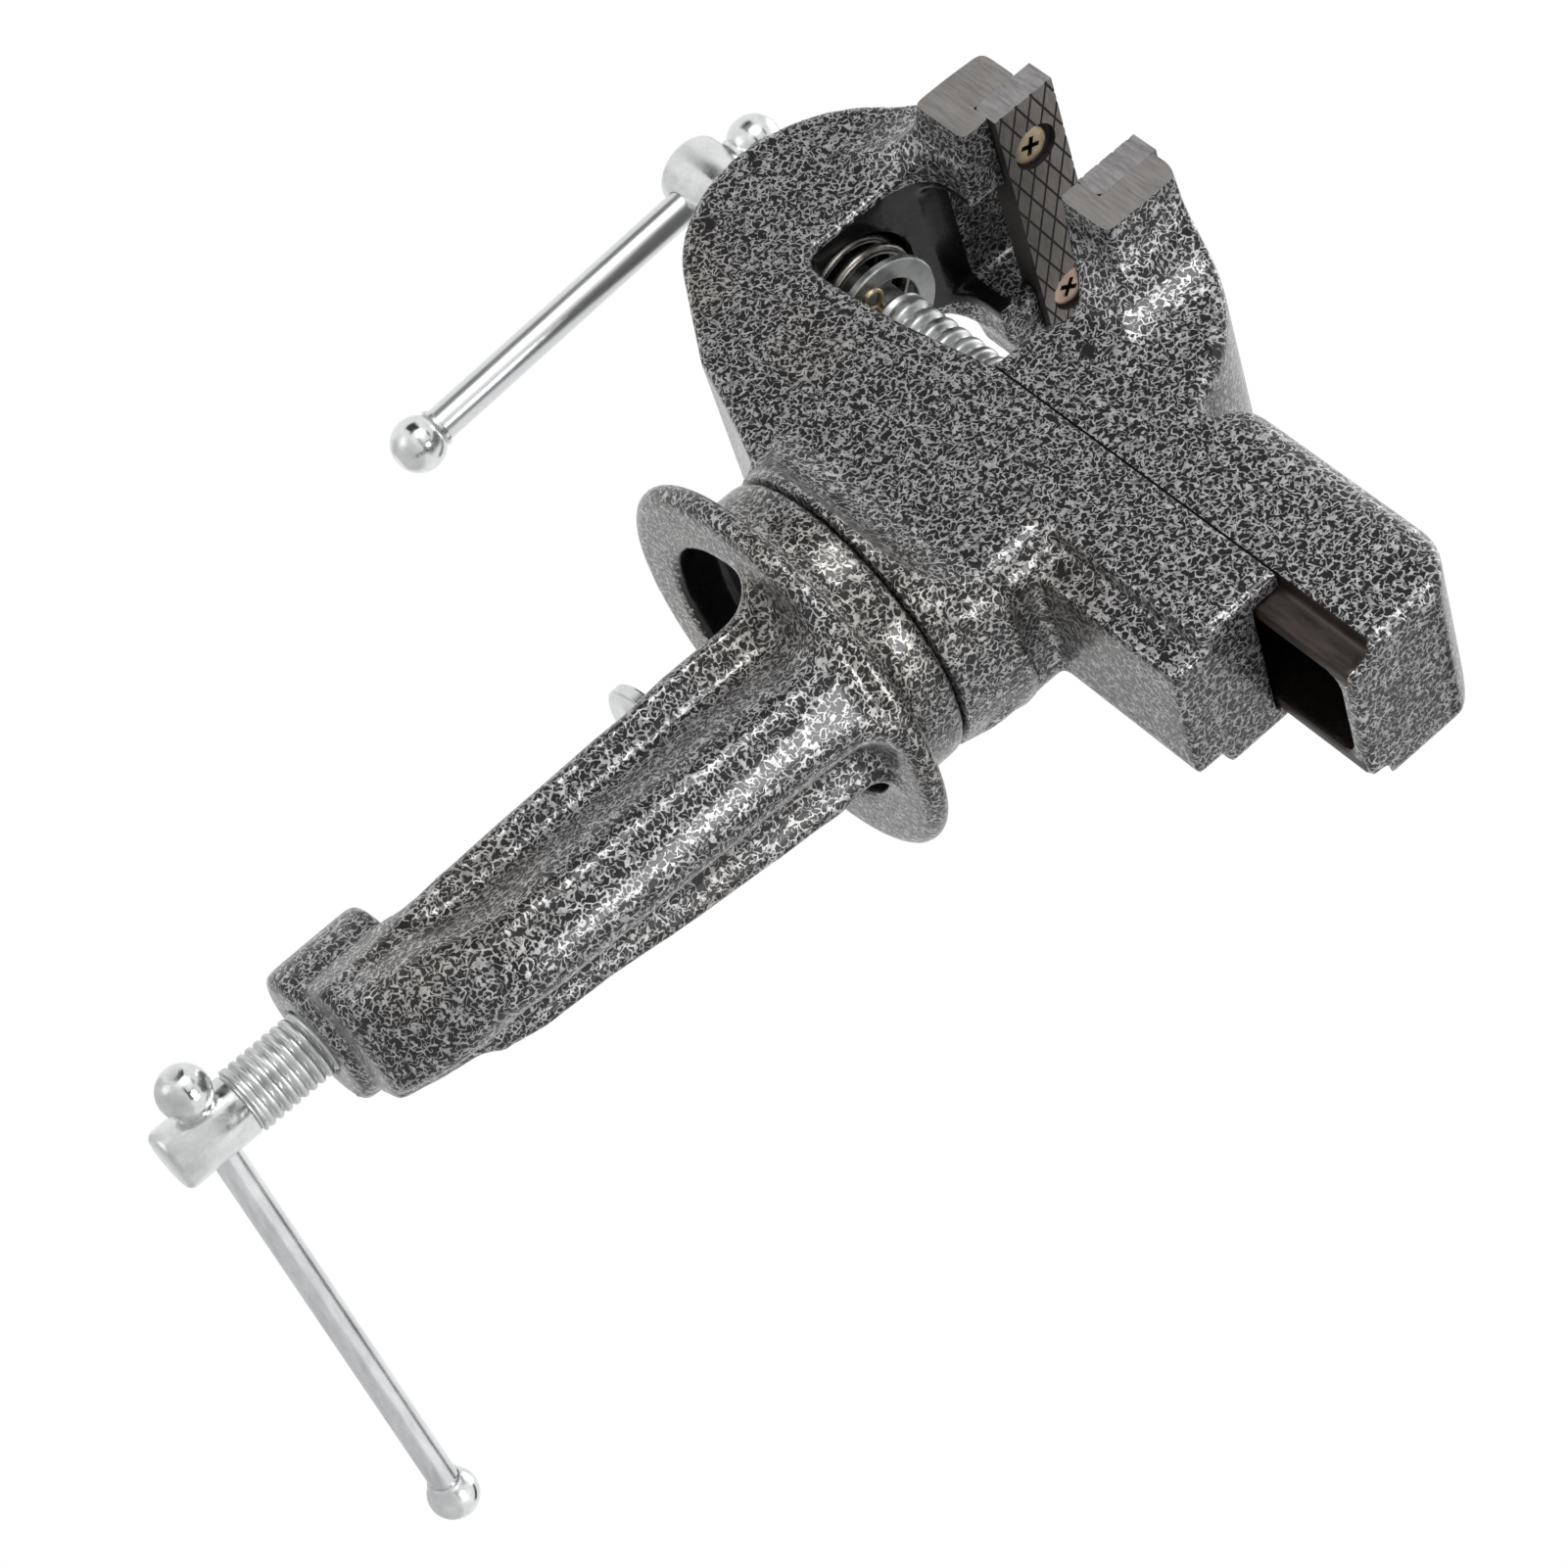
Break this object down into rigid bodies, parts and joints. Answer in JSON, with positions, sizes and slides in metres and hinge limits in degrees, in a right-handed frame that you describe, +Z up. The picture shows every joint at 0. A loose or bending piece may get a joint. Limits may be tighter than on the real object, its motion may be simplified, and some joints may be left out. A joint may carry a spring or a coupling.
{
  "type": "clamp-on swivel table vise",
  "caption": "Small bench vise that clamps to a table edge: swivelling iron head with a screw-driven sliding jaw, knurled steel jaw plates and a T-handle clamp screw below",
  "frame": {"origin": "Centre of the clamp frame's flange, on the face that sits on the table top; the swivel axis passes through it.", "axes": "+Z runs up the swivel axis away from the table, +X runs along the main screw from its handle towards the slide's end, +Y completes the right-handed frame across the jaws."},
  "size_m": [0.2085, 0.1636, 0.267],
  "materials": {
    "hammer_finish_iron": "cast iron under dark charcoal hammer-finish paint with silver speckle; sliding faces and jaw ends machined bare",
    "bare_steel": "bare steel jaw plates with a diamond-knurled gripping face and milled edges",
    "zinc_plated_steel": "bright zinc-plated turned steel",
    "yellowed_zinc": "yellow-passivated zinc on small fasteners"
  },
  "bodies": {
    "base": {"clamp_frame": "hammer_finish_iron"},
    "head": {"fixed_jaw_body": "hammer_finish_iron", "fixed_jaw_plate": "bare_steel", "fixed_plate_screws": "yellowed_zinc", "screw_spring": "zinc_plated_steel", "pivot_bolt": "zinc_plated_steel", "pivot_washer": "zinc_plated_steel"},
    "sliding_jaw": {"sliding_jaw_body": "hammer_finish_iron", "sliding_jaw_plate": "bare_steel", "sliding_plate_screws": "yellowed_zinc", "jaw_nut": "bare_steel"},
    "main_screw": {"main_screw": "zinc_plated_steel", "spring_washer": "zinc_plated_steel", "split_pin": "yellowed_zinc"},
    "main_handle": {"main_handle_rod": "zinc_plated_steel", "main_handle_upper_ball": "zinc_plated_steel", "main_handle_lower_ball": "zinc_plated_steel"},
    "clamp_pad": {"clamp_pad": "zinc_plated_steel"},
    "clamp_screw": {"clamp_screw": "zinc_plated_steel"},
    "clamp_handle": {"clamp_handle_rod": "zinc_plated_steel", "clamp_handle_near_ball": "zinc_plated_steel", "clamp_handle_far_ball": "zinc_plated_steel"}
  },
  "joints": [
    {"name": "head_swivel", "type": "hinge", "parent": "base", "child": "head", "pos_m": [0, 0, 0.0185], "axis": [0, 0, 1], "continuous": true},
    {"name": "jaw_slide", "type": "slide", "parent": "head", "child": "sliding_jaw", "axis": [1, 0, 0], "range_m": [-0.0236, 0.036]},
    {"name": "screw_turn", "type": "hinge", "parent": "head", "child": "main_screw", "pos_m": [0, 0, 0.0725], "axis": [1, 0, 0], "range_deg": [-3245, 2130]},
    {"name": "main_handle_slide", "type": "slide", "parent": "main_screw", "child": "main_handle", "axis": [0, -0.0785, 0.9969], "range_m": [0, 0.0683]},
    {"name": "pad_lift", "type": "slide", "parent": "base", "child": "clamp_pad", "axis": [0, 0, 1], "range_m": [-0.053, 0.017]},
    {"name": "clamp_screw_turn", "type": "hinge", "parent": "clamp_pad", "child": "clamp_screw", "pos_m": [-0.0034, -0.0016, -0.0326], "axis": [0, 0, 1], "range_deg": [-9560, 3070]},
    {"name": "clamp_handle_slide", "type": "slide", "parent": "clamp_screw", "child": "clamp_handle", "axis": [0.1857, 0.9826, 0], "range_m": [-0.1072, 0]}
  ],
  "couplings": [
    {"joint": "screw_turn", "follows": "jaw_slide", "rad_per_m": -1570.8},
    {"joint": "clamp_screw_turn", "follows": "pad_lift", "rad_per_m": 3141.6}
  ]
}
